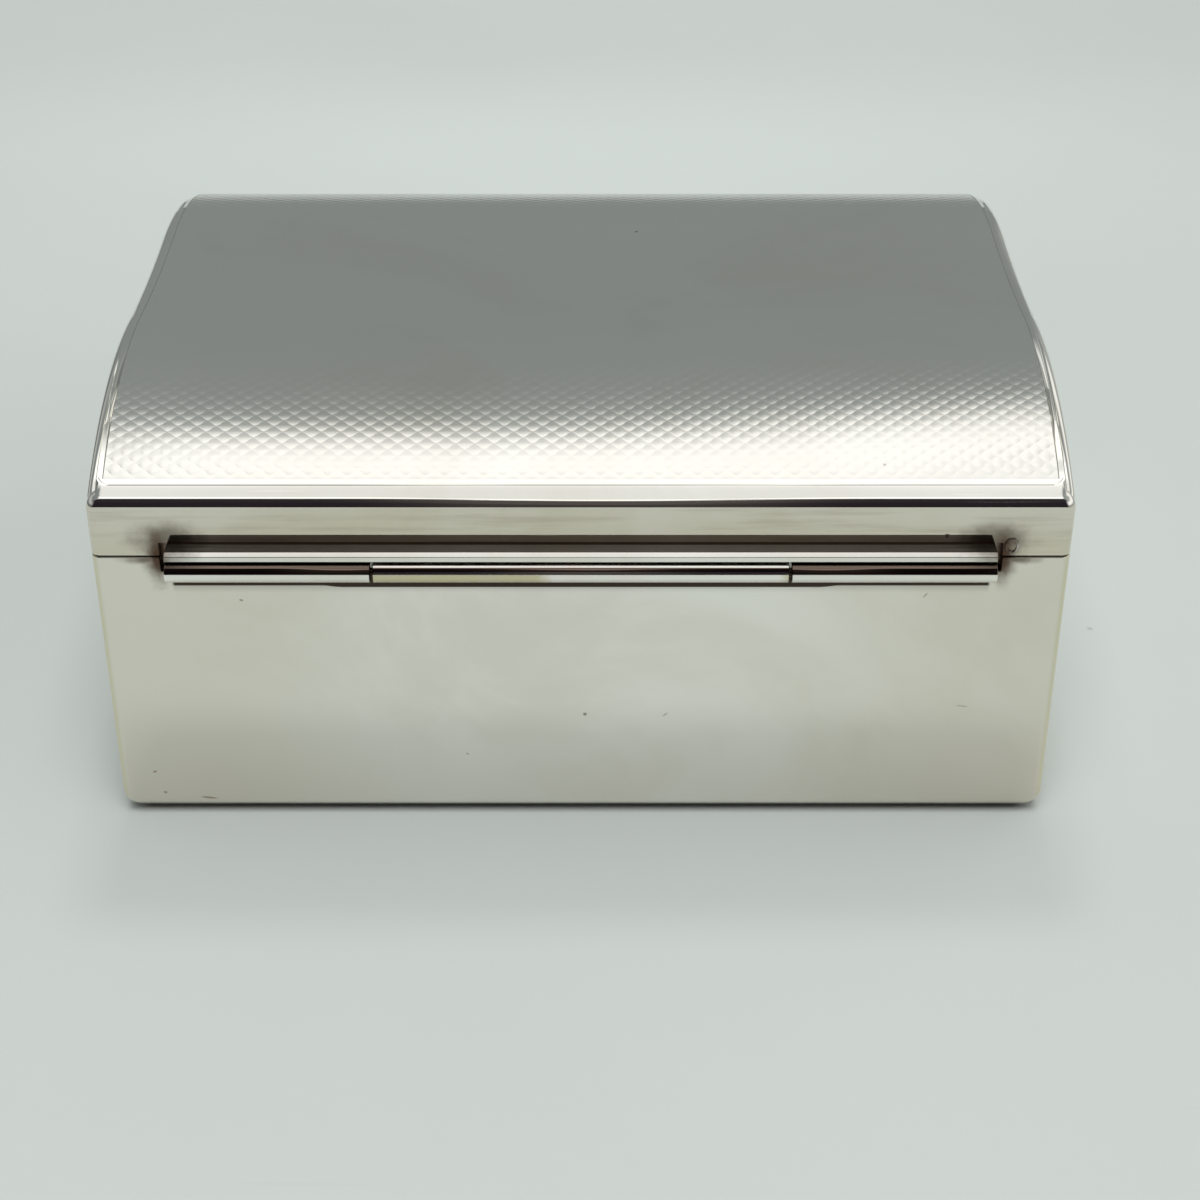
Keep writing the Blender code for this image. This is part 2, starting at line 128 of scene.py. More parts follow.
class BoxFinish(bpy.types.PropertyGroup):
    """Colours of the metal, its tarnish and the cedar."""

    silver: colour("Silver", "Clean polished silver", (0.93, 0.915, 0.86))
    pink: colour("Pink silver", "Warm patches on the middle knuckle", (0.93, 0.84, 0.80))
    tarnish: colour("Tarnish", "Warm film on the silver", (0.68, 0.62, 0.49))
    # Smoke also paints the shade on the body's lower wall
    smoke: colour("Smoke film", "Grey brown haze round the hinge's ends", (0.42, 0.35, 0.28))
    # Stain also paints shade: the contact shadow along the body's bottom edge, the tube's dark band,
    # and, darker, the gaps and the hollow under the tube
    stain: colour("Stain", "Brown deposit in the corners of the hinge", (0.10, 0.055, 0.035))
    # Olive also paints a yellowish reflection on the body's upright corners
    olive: colour("Olive film", "Film on the middle knuckle", (0.66, 0.61, 0.36))
    nickel: colour("Nickel silver", "Hinge pin", (0.62, 0.60, 0.55))
    nickel_dark: colour("Dark nickel silver", "Drawing lines on the pin", (0.42, 0.40, 0.36))
    cedar_light: colour("Light cedar", "Early wood of the lining", (0.47, 0.25, 0.125))
    cedar_dark: colour("Dark cedar", "Late wood of the lining", (0.25, 0.10, 0.045))
    haze: share("Haze", "How cloudy the polish is", 0.5)


class BoxStage(bpy.types.PropertyGroup):
    """The floor, the light and the camera."""

    floor: colour("Floor", "Pale table top", (0.60, 0.642, 0.618))
    camera_x: FloatProperty(name="Camera X", description="Sideways place of the camera",
                            default=-1.97 * MM, subtype="DISTANCE", unit="LENGTH")
    camera_y: length("Camera Y", "Distance of the camera behind the box", 244.4)
    camera_z: length("Camera Z", "Height of the camera", 152.9)
    pitch: FloatProperty(name="Pitch", description="How far the camera looks down",
                         default=radians(31.58), subtype="ANGLE", unit="ROTATION")
    focal_pixels: FloatProperty(name="Focal length", default=2277, min=1,
                                description="In pixels of a square frame of 1200")
    frame_pixels: IntProperty(name="Frame", description="Side of the square frame in pixels",
                              default=1200, min=1)
    zenith: FloatProperty(name="Overhead light", description="Brightness of the sky overhead",
                          default=1.22, min=0)
    surround: FloatProperty(name="Surround", description="Brightness of the room around",
                            default=0.235, min=0)


def settings():
    return bpy.context.scene.silver_box


def node_box(name):
    low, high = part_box(name)
    return low, high


def hinge_axis():
    low, high = node_box("centre_knuckle")
    return (low.y + high.y) / 2, (low.z + high.z) / 2


def link(item):
    bpy.context.scene.collection.objects.link(item)
    return item


def mesh_piece(name, work, material, sharp=SHARP):
    """Turn a bmesh into a finished object: smooth, with its hard edges marked."""
    mesh = bpy.data.meshes.new(name)
    work.to_mesh(mesh)
    work.free()
    mesh.materials.append(material)
    mesh.shade_smooth()
    mesh.set_sharp_from_angle(angle=sharp)
    return link(bpy.data.objects.new(name, mesh))


def apply_modifiers(item):
    """Replace an object's mesh by its evaluated one and drop the modifiers."""
    bpy.context.view_layer.update()
    graph = bpy.context.evaluated_depsgraph_get()
    mesh = bpy.data.meshes.new_from_object(item.evaluated_get(graph))
    item.modifiers.clear()
    item.data = mesh
    return item


def stand_for(piece, body, slot, *nodes):
    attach(piece, body)
    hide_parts(*nodes)


def adds_math(operation):
    """A method of a wire that adds a Math node with one operation."""
    def method(self, *others):
        return self.nodes.math(operation, self, *others)
    return method


class Wire:
    """An output of a node. Sums, products and comparisons of wires add Math nodes."""

    def __init__(self, nodes, socket):
        self.nodes = nodes
        self.socket = socket

    __add__ = adds_math("ADD")
    __sub__ = adds_math("SUBTRACT")
    __mul__ = adds_math("MULTIPLY")
    __truediv__ = adds_math("DIVIDE")
    __abs__ = adds_math("ABSOLUTE")
    __lt__ = adds_math("LESS_THAN")
    __gt__ = adds_math("GREATER_THAN")
    most = adds_math("MAXIMUM")

    def __rsub__(self, other):
        return self.nodes.math("SUBTRACT", other, self)

    def ramp(self, low, high, start=0.0, end=1.0):
        """Smooth step between two limits."""
        limits = {"Value": self, "From Min": low, "From Max": high, "To Min": start, "To Max": end}
        return self.nodes.add("ShaderNodeMapRange", limits, "Result",
                              interpolation_type="SMOOTHSTEP")

    def also(self, name):
        """Another output of the same node."""
        return Wire(self.nodes, self.socket.node.outputs[name])

    def parts(self):
        """The three parts of a vector."""
        across = self.nodes.add("ShaderNodeSeparateXYZ", {0: self})
        return across, across.also("Y"), across.also("Z")

    def length(self):
        return self.nodes.vector("LENGTH", self).also("Value")


class Nodes:
    """Adds nodes to one tree and gives their outputs as wires."""

    def __init__(self, tree):
        self.tree = tree

    def fill(self, node, inputs):
        """Set a node's inputs to values, or link wires to them."""
        for name, value in inputs.items():
            if isinstance(value, Wire):
                self.tree.links.new(value.socket, node.inputs[name])
            else:
                node.inputs[name].default_value = value

    def add(self, kind, inputs, output=0, **choices):
        """Add a node, set its choices, fill its inputs, and give one of its outputs."""
        node = self.tree.nodes.new(kind)
        for name, value in choices.items():
            setattr(node, name, value)
        self.fill(node, inputs)
        return Wire(self, node.outputs[output])

    def math(self, operation, *values, clamp=False):
        return self.add("ShaderNodeMath", dict(enumerate(values)), operation=operation,
                        use_clamp=clamp)

    def vector(self, operation, *values):
        return self.add("ShaderNodeVectorMath", dict(enumerate(values)), operation=operation)

    def mix(self, factor, first, second):
        """Blend of two colours, each of them a wire or three values."""
        colours = [each if isinstance(each, Wire) else (*each, 1.0) for each in (first, second)]
        return self.add("ShaderNodeMix", {0: factor, 6: colours[0], 7: colours[1]}, 2,
                        data_type="RGBA")

    def noise(self, where, scale, detail, **more):
        inputs = {"Vector": where, "Scale": scale, "Detail": detail, **more}
        return self.add("ShaderNodeTexNoise", inputs, "Fac")

    def mapped(self, where, **mapping):
        return self.add("ShaderNodeMapping", {"Vector": where, **mapping})

    def streaks(self, where, stretch, detail, turn=(0.0, 0.0, 0.0)):
        """Noise with its own scale along each axis."""
        return self.noise(self.mapped(where, Scale=stretch, Rotation=turn), 1.0, detail)

    def specks(self, where, scale, rarity):
        """Mask of small round specks in a few cells of a scatter."""
        cells = self.add("ShaderNodeTexVoronoi", {"Vector": where, "Scale": scale}, "Distance")
        chosen = self.add("ShaderNodeSeparateColor", {"Color": cells.also("Color")})
        return cells.ramp(0.02, 0.05, 1.0, 0.0) * (chosen > rarity)

    def group(self, name, build, inputs):
        """Use a node group, which its first use builds, and give its outputs by name."""
        node = self.tree.nodes.new("ShaderNodeGroup")
        node.node_tree = bpy.data.node_groups.get(name) or build(name)
        self.fill(node, inputs)
        return {socket.name: Wire(self, socket) for socket in node.outputs}


def new_group(name, kind, inputs):
    """Empty node group with named inputs, each given by its default or its kind of socket."""
    group = bpy.data.node_groups.new(name, kind)
    for label, default in inputs.items():
        plain = {float: "Float", int: "Int", tuple: "Vector"}.get(type(default), default)
        socket = group.interface.new_socket(label, in_out="INPUT",
                                            socket_type="NodeSocket" + plain)
        if plain is not default:
            socket.default_value = default
    nodes = Nodes(group)
    start = group.nodes.new("NodeGroupInput")
    return nodes, {socket.name: Wire(nodes, socket) for socket in start.outputs}


def close_group(nodes, results, kind="Float"):
    """Give a node group its named results."""
    for label in results:
        nodes.tree.interface.new_socket(label, in_out="OUTPUT", socket_type="NodeSocket" + kind)
    nodes.fill(nodes.tree.nodes.new("NodeGroupOutput"), results)
    return nodes.tree


def polish_wear_group(name):
    """Cloudy film, polishing hairlines and small pits of hand-polished silver."""
    nodes, given = new_group(name, "ShaderNodeTree",
                             {"Vector": (0.0, 0.0, 0.0), "Cloud size": 30.0, "Haze": 0.5})
    where = given["Vector"]
    clouds = nodes.noise(where, given["Cloud size"], detail=5.0, Roughness=0.62,
                         Distortion=0.6)
    smears = nodes.streaks(where, (45.0, 90.0, 260.0), detail=4.0,
                           turn=(0.0, radians(12), 0.0))
    lines = []
    for turn, fineness in ((0.35, 3200.0), (-0.9, 4100.0), (1.35, 2700.0)):
        fine = nodes.streaks(where, (55.0, fineness, fineness), detail=1.0,
                             turn=(turn, turn * 0.7, turn))
        lines.append(fine.ramp(0.72, 0.80))
    hairline = nodes.math("ADD", lines[0] + lines[1], lines[2], clamp=True)
    pit = nodes.specks(where, scale=160.0, rarity=0.93)
    waves = nodes.noise(where, scale=55.0, detail=1.5)
    return close_group(nodes, {"Film": clouds.ramp(0.42, 0.72),
                               "Haze": smears.ramp(0.40, 0.75) * given["Haze"],
                               "Hairline": hairline, "Pit": pit,
                               "Height": waves - pit * 0.6 - hairline * 0.012})


def deposit_group(name):
    """Mask of a deposit round a place, mirrored left and right, fading outwards."""
    nodes, given = new_group(name, "ShaderNodeTree",
                             {"Vector": (0.0, 0.0, 0.0), "Place": (0.0, 0.0, 0.0),
                              "Stretch": (1.0, 1.0, 1.0), "Reach": 3 * MM})
    x, y, z = given["Vector"].parts()
    mirrored = nodes.add("ShaderNodeCombineXYZ", {"X": abs(x), "Y": y, "Z": z})
    away = nodes.vector("SUBTRACT", mirrored, given["Place"])
    relative = nodes.vector("MULTIPLY", away, given["Stretch"]).length() / given["Reach"]
    ragged = nodes.noise(given["Vector"], scale=700.0, detail=3.0, Roughness=0.55)
    edge = ragged * 0.5 + (relative - 0.25)
    return close_group(nodes, {"Mask": edge.ramp(0.15, 1.0, 1.0, 0.0)})


def new_material(name):
    """A new material, its nodes, and the place on the object as a wire."""
    material = bpy.data.materials.new(name)
    material.use_nodes = True
    nodes = Nodes(material.node_tree)
    return material, nodes, nodes.add("ShaderNodeTexCoord", {}, "Object")


def dress(nodes, inputs, height=None, depth=0.0):
    """Fill the shader's inputs, with a fine relief where a height is given."""
    if height is not None:
        relief = {"Height": height, "Distance": depth, "Strength": 1.0}
        inputs["Normal"] = nodes.add("ShaderNodeBump", relief)
    nodes.fill(nodes.tree.nodes["Principled BSDF"], inputs)


def dress_metal(nodes, base, rough, height=None, depth=0.0):
    dress(nodes, {"Base Color": base, "Roughness": rough, "Metallic": 1.0}, height, depth)


def polish_wear(nodes, where):
    return nodes.group("Polish wear", polish_wear_group,
                       {"Vector": where, "Haze": settings().finish.haze})


def pitted(nodes, wear, base):
    """A base colour with the stain in its pits."""
    return nodes.mix(wear["Pit"] * 0.7, base, settings().finish.stain)


def times(value, factor):
    return [part * factor for part in value]


def painted_shade_colour():
    """A darker stain colour, used for painted shade."""
    return times(settings().finish.stain, 0.35)


def deposit(nodes, where, place, stretch, reach):
    return nodes.group("Deposit", deposit_group,
                       {"Vector": where, "Place": place, "Stretch": stretch, "Reach": reach})["Mask"]


def corner_deposits(nodes, where, ledge, wall):
    """Masks of the brown deposit at the notch's ends and of the haze round it."""
    x = ledge.x + 1.0 * MM
    z = wall.z - 0.2 * MM
    dark = deposit(nodes, where, (x, wall.y, z), stretch=(1.6, 0.5, 0.8), reach=3.3 * MM)
    tail = deposit(nodes, where, (x + 0.9 * MM, wall.y, z - 0.1 * MM),
                   stretch=(0.4, 0.5, 2.2), reach=1.6 * MM)
    haze = deposit(nodes, where, (x - 1.0 * MM, wall.y, ledge.z + 0.3 * MM),
                   stretch=(0.65, 0.5, 1.1), reach=3.4 * MM)
    return dark.most(tail * 0.8), haze


def crevice_line(nodes, where, ledge, wall):
    """Mask of a dark line in the corner where the ledge's top meets the lid's wall."""
    x, y, z = where.parts()
    on_top = nodes.math("COMPARE", z, ledge.z, 0.03 * MM) * (abs(x) < ledge.x)
    near_wall = y.ramp(wall.y + 0.16 * MM, wall.y + 0.30 * MM, 1.0, 0.0)
    return on_top * near_wall * (y > wall.y - 0.1 * MM)


def under_tube_shade(nodes, where, ledge, wall):
    """Mask of grime and painted shade on the wall and the apron close under the hinge's tube, with a
    faint painted shadow round it.
    """
    middle_end = node_box("centre_knuckle")[1].x
    axis_y, axis_z = hinge_axis()
    x, y, z = where.parts()
    away = nodes.add("ShaderNodeCombineXYZ", {"Y": y - axis_y, "Z": z - axis_z}).length()
    on_wall = y < wall.y + 0.2 * MM
    more = abs(x).ramp(middle_end - 3 * MM, middle_end + 1 * MM, 1.02 * MM, 0.76 * MM)
    thick = (away - (on_wall * more + 2.72 * MM)).ramp(-0.1 * MM, 0.06 * MM, 0.97, 0.0)
    # Faint painted shadow on the wall round the dark line
    thin = (away - 3.4 * MM).ramp(0, 0.9 * MM, 0.25, 0.0) * on_wall
    reach = (z < axis_z - 1.0 * MM) * abs(x).ramp(ledge.x - 0.4 * MM, ledge.x, 1.0, 0.0)
    return thick.most(thin) * reach


def hinge_dirt_and_shade(nodes, where, base, rough):
    """Brown deposits at the ends of the hinge's notch, a dark line in the ledge's corner, and grime
    with painted shade in the hollow under the tube.
    """
    finish = settings().finish
    ledge = node_box("lid_bearer")[1]
    wall = node_box("body_wall")[1]
    dark, haze = corner_deposits(nodes, where, ledge, wall)
    dark = dark.most(crevice_line(nodes, where, ledge, wall))
    hollow = under_tube_shade(nodes, where, ledge, wall)
    base = nodes.mix(haze * 0.85, base, times(finish.smoke, 0.45))
    base = nodes.mix(dark * 0.97, base, finish.stain)
    # Grime and painted shade in the hollow under the tube
    base = nodes.mix(hollow, base, painted_shade_colour())
    return base, dark.most(hollow) * 0.3 + rough


def nick(nodes, where, centre, turn, half_length, half_height):
    """Mask of a small mark on a wall that faces +Y: a narrow oval, turned in the wall's plane."""
    turned_to = nodes.add("ShaderNodeVectorRotate",
                          {"Vector": nodes.vector("SUBTRACT", where, centre), "Angle": turn},
                          rotation_type="Y_AXIS")
    oval = (1 / half_length, 1 / half_length, 1 / half_height)
    return nodes.vector("MULTIPLY", turned_to, oval).length().ramp(0.5, 1.0, 1.0, 0.0)


def body_film_and_shade(nodes, where, base):
    """Film that thickens towards the body's ends, with painted shade on the lower wall, a painted
    yellowish reflection on the upright corners and a painted contact shadow along the bottom edge.
    """
    finish = settings().finish
    high = node_box("body_wall")[1]
    x, y, z = where.parts()
    ends = abs(x).ramp(12 * MM, 42 * MM, 0.0, 0.42)
    # Painted shade: the lower wall darkened as if mirroring the shaded floor by the box
    lower = z.ramp(2 * MM, 20 * MM, 0.20, 0.0)
    # Painted reflection: a yellowish tint on the upright corners
    corner = (abs(x).ramp(high.x - 0.9 * MM, high.x - 0.25 * MM, 0.0, 0.55)
              * abs(y).ramp(high.y - 0.9 * MM, high.y - 0.25 * MM))
    # Painted contact shadow along the bottom edge
    foot = z.ramp(0.45 * MM, 0.95 * MM, 0.95, 0.0)
    for mask, film in ((ends, finish.tarnish), (lower, finish.smoke), (corner, finish.olive),
                       (foot, finish.stain)):
        base = nodes.mix(mask, base, film)
    return base


def gap_shade(nodes, where, base):
    """Painted shade in the two gaps between the knuckles."""
    middle = (node_box("centre_knuckle")[1].x + node_box("right_knuckle")[0].x) / 2
    away = abs(abs(where.parts()[0]) - middle)
    return nodes.mix(away.ramp(0.18 * MM, 0.23 * MM, 0.97, 0.0), base, painted_shade_colour())


def tube_shadow(nodes, where, base, lower_end, upper_end):
    """Painted shade along the tube under the ledge, between two heights over the axis, and in the
    knuckles' gaps.
    """
    above = where.parts()[2] - hinge_axis()[1]
    # This film is painted shade: the tube's dark band under the ledge
    film = (above.ramp(lower_end, lower_end + 0.08 * MM)
            * above.ramp(upper_end, upper_end + 0.06 * MM, 0.92, 0.0))
    return gap_shade(nodes, where, nodes.mix(film, base, settings().finish.stain))


def lid_wall_darkening(nodes, where, cloud, film):
    """Darker warm tone on the lid's walls, heavier towards their lower edge, and a mask of the
    streaks rubbed into it.
    """
    low, high = node_box("lid_wall")
    eaves = low.z + 6.0 * MM
    x, y, z = where.parts()
    on_end = abs(x).ramp(high.x - 0.12 * MM, high.x - 0.02 * MM)
    on_wall = on_end.most(z.ramp(eaves - 0.6 * MM, eaves, 1.0, 0.0))
    fading = z.ramp(low.z, eaves - 0.5 * MM, 0.8, 0.55)
    rubbed = nodes.streaks(where, (70.0, 70.0, 1100.0), detail=3.0)
    streaks = on_wall * rubbed.ramp(0.45, 0.75, 0.0, 0.4)
    return film.most(on_wall * (cloud * 0.35 + fading)), streaks


def silver_finish(name, film_share, roughness, wave_depth, grimy_and_shaded=True, lid=False,
                  dull_above=None, marks=(), body=False, tube=False):
    """Polished silver with film, hairlines, pits and deposits at the hinge's ends, and where asked
    painted shade round the hinge and on the body.
    """
    finish = settings().finish
    material, nodes, where = new_material(name)
    wear = polish_wear(nodes, where)
    film = wear["Film"] * film_share
    if lid:
        film, streaks = lid_wall_darkening(nodes, where, wear["Film"], film)
    base = nodes.mix(film, finish.silver, finish.tarnish)
    if lid:
        base = nodes.mix(streaks, base, finish.smoke)
    base = pitted(nodes, wear, base)
    rough = wear["Hairline"] * 0.12 + (wear["Haze"] * 0.12 + roughness)
    if dull_above:
        dull = where.parts()[2].ramp(dull_above - 0.03 * MM, dull_above - 0.01 * MM)
        rough = dull * 0.3 + rough
        base = nodes.mix(dull * 0.35, base, finish.smoke)
    if body:
        base = body_film_and_shade(nodes, where, base)
    if tube:
        # Painted shade along the hinge's tube under the ledge
        base = tube_shadow(nodes, where, base, lower_end=0.26 * MM, upper_end=1.1 * MM)
    for mark in marks:
        base = nodes.mix(nick(nodes, where, *mark), base, finish.smoke)
    if grimy_and_shaded:
        base, rough = hinge_dirt_and_shade(nodes, where, base, rough)
    dress_metal(nodes, base, rough, wear["Height"], wave_depth)
    return material


def engraved_finish():
    """The engine-turned field, slightly duller than the plain silver round it."""
    finish = settings().finish
    material, nodes, where = new_material("Engine-turned silver")
    wear = polish_wear(nodes, where)
    base = nodes.mix(wear["Film"] * 0.2, finish.silver, finish.tarnish)
    dress_metal(nodes, pitted(nodes, wear, base), wear["Haze"] * 0.08 + 0.19, wear["Height"],
                0.01 * MM)
    return material


def middle_knuckle_finish():
    """The middle knuckle: an olive film on part of its length, pinkish white on the rest."""
    finish = settings().finish
    material, nodes, where = new_material("Tarnished silver")
    wear = polish_wear(nodes, where)
    low, high = node_box("centre_knuckle")
    span = high.x - low.x
    axis_z = hinge_axis()[1]
    x, y, z = where.parts()
    ragged = nodes.noise(where, scale=420.0, detail=4.0)
    moved = ragged * (3 * MM) + x
    olive = moved.ramp(high.x - 0.40 * span, high.x - 0.38 * span + 1.0 * MM)
    end = moved.ramp(low.x + 0.03 * span, low.x + 0.06 * span, 0.8, 0.0)
    film = olive.most(end) * z.ramp(axis_z + 0.1 * MM, axis_z + 0.5 * MM, 1.0, 0.0)
    clean = nodes.mix(wear["Film"].ramp(0.2, 0.9), finish.silver, finish.pink)
    mottled = nodes.mix(ragged, finish.olive, finish.tarnish)
    base = nodes.mix(film, clean, mottled)
    # Painted shade along the tube under the ledge and in the knuckles' gaps
    base = tube_shadow(nodes, where, base, lower_end=0.5 * MM, upper_end=0.86 * MM)
    dress_metal(nodes, base, film * 0.12 + 0.10, wear["Height"], 0.02 * MM)
    return material


def drawn_wire_finish():
    finish = settings().finish
    material, nodes, where = new_material("Nickel silver")
    lines = nodes.streaks(where, (90.0, 9000.0, 9000.0), detail=2.0)
    base = nodes.mix(lines.ramp(0.35, 0.7), finish.nickel, finish.nickel_dark)
    # Painted shade on the pin where it shows in the knuckles' gaps
    dress_metal(nodes, gap_shade(nodes, where, base), lines * 0.2 + 0.2)
    return material


def cedar_finish(name, along, offset):
    """Unvarnished cedar whose grain runs along one axis."""
    finish = settings().finish
    material, nodes, where = new_material(name)
    turned_by = {"X": (0.0, 0.0, 0.0), "Y": (0.0, 0.0, radians(90))}[along]
    board = nodes.mapped(where, Rotation=turned_by, Location=offset)
    flow = nodes.mapped(board, Scale=(14.0, 120.0, 120.0))
    rings = nodes.add("ShaderNodeTexWave",
                      {"Vector": flow, "Scale": 1.1, "Distortion": 5.0, "Detail": 3.0,
                       "Detail Scale": 1.2}, "Fac", wave_type="BANDS", bands_direction="Z")
    fibres = nodes.streaks(board, (60.0, 2600.0, 2600.0), detail=3.0)
    tone = nodes.noise(flow, scale=1.0, detail=3.0) * 0.75 + rings * 0.3 - 0.18
    tone = nodes.math("MULTIPLY_ADD", fibres, 0.35, tone, clamp=True)
    dress(nodes, {"Base Color": nodes.mix(tone, finish.cedar_light, finish.cedar_dark),
                  "Roughness": fibres * 0.25 + 0.45, "Specular IOR Level": 0.35},
          rings * 0.1 + fibres, 0.03 * MM)
    return material


class Crown:
    """The lid's top surface: a convex arc from each long edge and a shallow hollow between."""

    def __init__(self):
        sizes = settings().lid
        low, high = node_box("lid_top")
        self.half_width = (high.x - low.x) / 2
        self.half_depth = (high.y - low.y) / 2
        self.top = high.z
        self.inset = sizes.crown_inset
        self.dip = sizes.middle_dip
        rise = sizes.crown_rise
        self.convex = (self.inset ** 2 + rise ** 2) / (2 * rise)
        slope = 2 * self.dip / (self.half_depth - self.inset)
        self.turn = self.inset + slope * self.convex
        self.hollow = (self.half_depth - self.turn) / slope

    def height(self, y):
        inset = self.half_depth - min(abs(y), self.half_depth)
        if inset <= self.turn:
            return self.top - self.convex + sqrt(self.convex ** 2 - (inset - self.inset) ** 2)
        return self.top - self.dip + self.hollow - sqrt(self.hollow ** 2 - y ** 2)

    def inward_rise(self, y):
        """How steeply the surface rises towards the lid's middle line."""
        inset = self.half_depth - min(abs(y), self.half_depth)
        if inset <= self.turn:
            away = self.inset - inset
            return away / sqrt(self.convex ** 2 - away ** 2)
        return -abs(y) / sqrt(self.hollow ** 2 - y ** 2)

    def edge_level(self, inset, radius, edge, rise, y):
        """Height of the surface at an inset from an edge that is rounded by a radius."""
        if inset >= radius * (1 - rise / sqrt(1 + rise ** 2)):
            return self.height(y)
        centre = edge + radius * rise - radius * sqrt(1 + rise ** 2)
        return centre + sqrt(radius ** 2 - (radius - inset) ** 2)


# Steps of the lid's sides, corners and upper and lower edges, of a grain, of a tube's ends
# and round a tube
SIDE_STEPS = 160
CORNER_STEPS = 8
ROUND_STEPS = 12
EASE_STEPS = 3
GRAIN_STEPS = 6
END_STEPS = 5
TUBE_SIDES = 96
# Width of the border line's sides, the lid's inner corners as a share of its outer ones, and
# a grain's height halfway up its gentle side as a share of its whole height
LINE_FLANK = 0.03 * MM
INNER_CORNER = 0.35
SHOULDER = 0.58


def half_outline(half_x, half_y, radius):
    """Right half of a rounded rectangle from front to back, as points with outward normals."""
    corners = []
    for start, centre_y in ((-pi / 2, radius - half_y), (0.0, half_y - radius)):
        angles = [start + pi / 2 * step / CORNER_STEPS for step in range(CORNER_STEPS + 1)]
        corners.append([(half_x - radius + radius * cos(angle), centre_y + radius * sin(angle),
                         cos(angle), sin(angle)) for angle in angles])
    side = [(half_x, (half_y - radius) * (2 * step / SIDE_STEPS - 1), 1.0, 0.0)
            for step in range(1, SIDE_STEPS)]
    return corners[0] + side + corners[1]


def ring_of(work, half):
    """Vertices of a whole ring from its right half: right side forwards, left side back."""
    right = [work.verts.new(point) for point in half]
    left = [work.verts.new((-x, y, z)) for x, y, z in reversed(half)]
    return right + left


def loft(work, rings):
    for outer, inner in zip(rings, rings[1:]):
        count = len(outer)
        for i in range(count):
            j = (i + 1) % count
            work.faces.new((outer[i], outer[j], inner[j], inner[i]))


def cap(work, ring):
    """Close a ring with strips that run from its right side to its left."""
    count = len(ring)
    for i in range(count // 2 - 1):
        work.faces.new((ring[i], ring[i + 1], ring[count - 2 - i], ring[count - 1 - i]))


class LidRings:
    """Rings of vertices that run round the lid, each at its own inset."""

    def __init__(self, work, crown, sizes):
        self.work = work
        self.crown = crown
        self.sizes = sizes
        self.edges = [(crown.height(y), crown.inward_rise(y) * abs(ny))
                      for x, y, nx, ny in self.outline(0, 0, sizes.corner_round)]

    def outline(self, inset_x, inset_y, corner):
        return half_outline(self.crown.half_width - inset_x, self.crown.half_depth - inset_y,
                            corner)

    def level_ring(self, inset, corner, z):
        return ring_of(self.work, [(x, y, z) for x, y, nx, ny in
                                   self.outline(inset, inset, corner)])

    def crown_ring(self, inset_x, inset_y, corner, sink=0.0):
        half = []
        for (x, y, nx, ny), (edge, rise) in zip(self.outline(inset_x, inset_y, corner),
                                                self.edges):
            inset = inset_x * nx ** 2 + inset_y * ny ** 2
            z = self.crown.edge_level(inset, self.sizes.edge_round, edge, rise, y)
            half.append((x, y, z - sink))
        return ring_of(self.work, half)


def lid_shell_rings(work, crown, sizes, low):
    """Rings from the ceiling, down the inside, up the outside and in to the field's seat."""
    make = LidRings(work, crown, sizes)
    inner = sizes.corner_round * INNER_CORNER
    ceiling = ring_of(work, [(x, y, crown.height(y) - sizes.sheet) for x, y, nx, ny in
                             make.outline(sizes.wall, sizes.wall, inner)])
    rings = [ceiling, make.level_ring(sizes.wall, inner, low)]
    for step in range(EASE_STEPS + 1):
        angle = pi / 2 * step / EASE_STEPS
        inset = sizes.lower_edge * (1 - sin(angle))
        rings.append(make.level_ring(inset, sizes.corner_round,
                                     low + sizes.lower_edge * (1 - cos(angle))))
    line = (sizes.line_inset - sizes.end_less, sizes.line_inset)
    for step in range(ROUND_STEPS + 1):
        inset = sizes.edge_round * (1 - cos(pi / 2 * step / ROUND_STEPS))
        if inset > line[0] - sizes.line_width - LINE_FLANK:
            break
        share_in = inset / line[1]
        corner = sizes.corner_round * (1 - share_in) + sizes.line_corner * share_in
        rings.append(make.crown_ring(inset, inset, corner))
    half_line = sizes.line_width / 2
    for step, sink in ((-half_line - LINE_FLANK, 0), (-half_line, 0), (0, sizes.line_depth),
                       (half_line, 0), (half_line + LINE_FLANK, 0)):
        rings.append(make.crown_ring(line[0] + step, line[1] + step, sizes.line_corner, sink))
    field = (sizes.rim - sizes.end_less, sizes.rim)
    rings.append(make.crown_ring((line[0] + field[0]) / 2, (line[1] + field[1]) / 2,
                                 sizes.line_corner / 2))
    for sink in (0, sizes.field_sink):
        rings.append(make.crown_ring(field[0], field[1], sizes.field_gap, sink))
    return rings


def cut_notch(shell, sizes):
    """Cut the opening for the hinge into the back of the lid's wall."""
    ledge = node_box("lid_bearer")[1]
    low, high = node_box("lid_wall")
    half = ledge.x + sizes.notch_end
    top = ledge.z + sizes.notch_top
    bottom = low.z - sizes.wall
    depth = 3 * sizes.wall
    bpy.ops.mesh.primitive_cube_add(size=1)
    cutter = bpy.context.object
    cutter.data.transform(Matrix.Translation((0, high.y, (top + bottom) / 2))
                          @ Matrix.Diagonal((2 * half, depth, top - bottom, 1)))
    notch = shell.modifiers.new("Notch", "BOOLEAN")
    notch.operation = "DIFFERENCE"
    notch.solver = "EXACT"
    notch.object = cutter
    apply_modifiers(shell)
    bpy.data.objects.remove(cutter)
    shell.data.set_sharp_from_angle(angle=LID_SHARP)


def make_lid_shell(material):
    sizes = settings().lid
    work = bmesh.new()
    rings = lid_shell_rings(work, Crown(), sizes, node_box("lid_wall")[0].z - sizes.seam_close)
    loft(work, rings)
    cap(work, rings[-1])
    cap(work, rings[0])
    bmesh.ops.recalc_face_normals(work, faces=work.faces)
    shell = mesh_piece("lid_shell", work, material, LID_SHARP)
    cut_notch(shell, sizes)
    return shell


